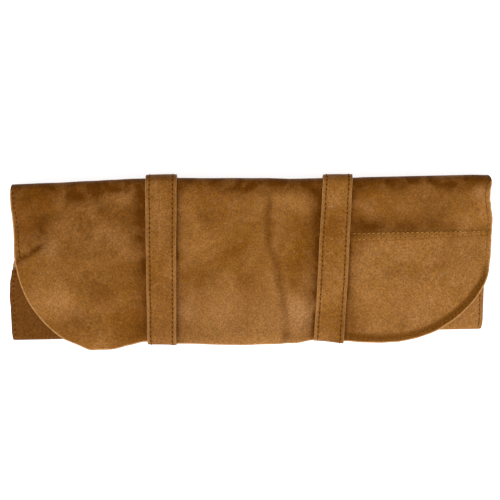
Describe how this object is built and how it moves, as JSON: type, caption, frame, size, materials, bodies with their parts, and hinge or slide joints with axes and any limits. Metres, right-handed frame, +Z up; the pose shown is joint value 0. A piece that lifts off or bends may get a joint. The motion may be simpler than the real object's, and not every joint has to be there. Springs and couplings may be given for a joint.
{
  "type": "leather knife case",
  "caption": "Flat folded leather case for kitchen knives, closed by a wide front flap and straps, with blade pockets inside.",
  "frame": {"origin": "on the surface that the case lies on, under the middle of the closed case", "axes": "+X along the case from the handle end to the blade end, +Y from the bottom fold to the top fold, +Z up out of the front flap"},
  "size_m": [0.465, 0.1651, 0.0252],
  "materials": {
    "case_leather": "waxed tan leather, mottled, with raw cut edges",
    "pocket_leather": "paler suede split",
    "strap_leather": "waxed tan leather strap, raw cut edges",
    "stitching": "waxed thread",
    "steel": "plain"
  },
  "bodies": {
    "case": {"back_panel": "case_leather", "back_pocket": "pocket_leather", "back_guard": "pocket_leather", "back_pocket_thread": "stitching", "strap_left_back": "strap_leather", "strap_left_back_lining": "strap_leather", "strap_left_catch_plate": "steel", "strap_right_back": "strap_leather", "strap_right_back_lining": "strap_leather", "strap_right_catch_plate": "steel"},
    "flap": {"front_flap": "case_leather", "flap_pocket": "pocket_leather", "flap_guard": "pocket_leather", "flap_left_thread": "stitching", "flap_curve_thread": "stitching", "flap_divider_thread": "stitching", "strap_left_top": "strap_leather", "strap_left_top_lining": "strap_leather", "strap_right_top": "strap_leather", "strap_right_top_lining": "strap_leather"},
    "lower_flap": {"lower_flap": "case_leather", "lower_flap_left_thread": "stitching", "lower_flap_right_thread": "stitching"},
    "strap_left": {"strap_left_front": "strap_leather", "strap_left_front_lining": "strap_leather", "strap_left_magnet": "steel", "strap_left_thread": "stitching"},
    "strap_right": {"strap_right_front": "strap_leather", "strap_right_front_lining": "strap_leather", "strap_right_magnet": "steel", "strap_right_thread": "stitching"}
  },
  "joints": [
    {"name": "flap_fold", "type": "hinge", "parent": "case", "child": "flap", "pos_m": [0, 0.08305, 0.01205], "axis": [-1, 0, 0], "range_deg": [0, 179.9]},
    {"name": "lower_flap_fold", "type": "hinge", "parent": "case", "child": "lower_flap", "pos_m": [0, -0.07005, 0.00668], "axis": [1, 0, 0], "range_deg": [0, 179.9]},
    {"name": "strap_left_lift", "type": "hinge", "parent": "flap", "child": "strap_left", "pos_m": [-0.0852, 0.06425, 0.0241], "axis": [-1, 0, 0], "range_deg": [0, 110]},
    {"name": "strap_right_lift", "type": "hinge", "parent": "flap", "child": "strap_right", "pos_m": [0.0838, 0.06425, 0.0241], "axis": [-1, 0, 0], "range_deg": [0, 110]}
  ],
  "couplings": [
    {"joint": "lower_flap_fold", "follows": "flap_fold", "ratio": 1}
  ]
}
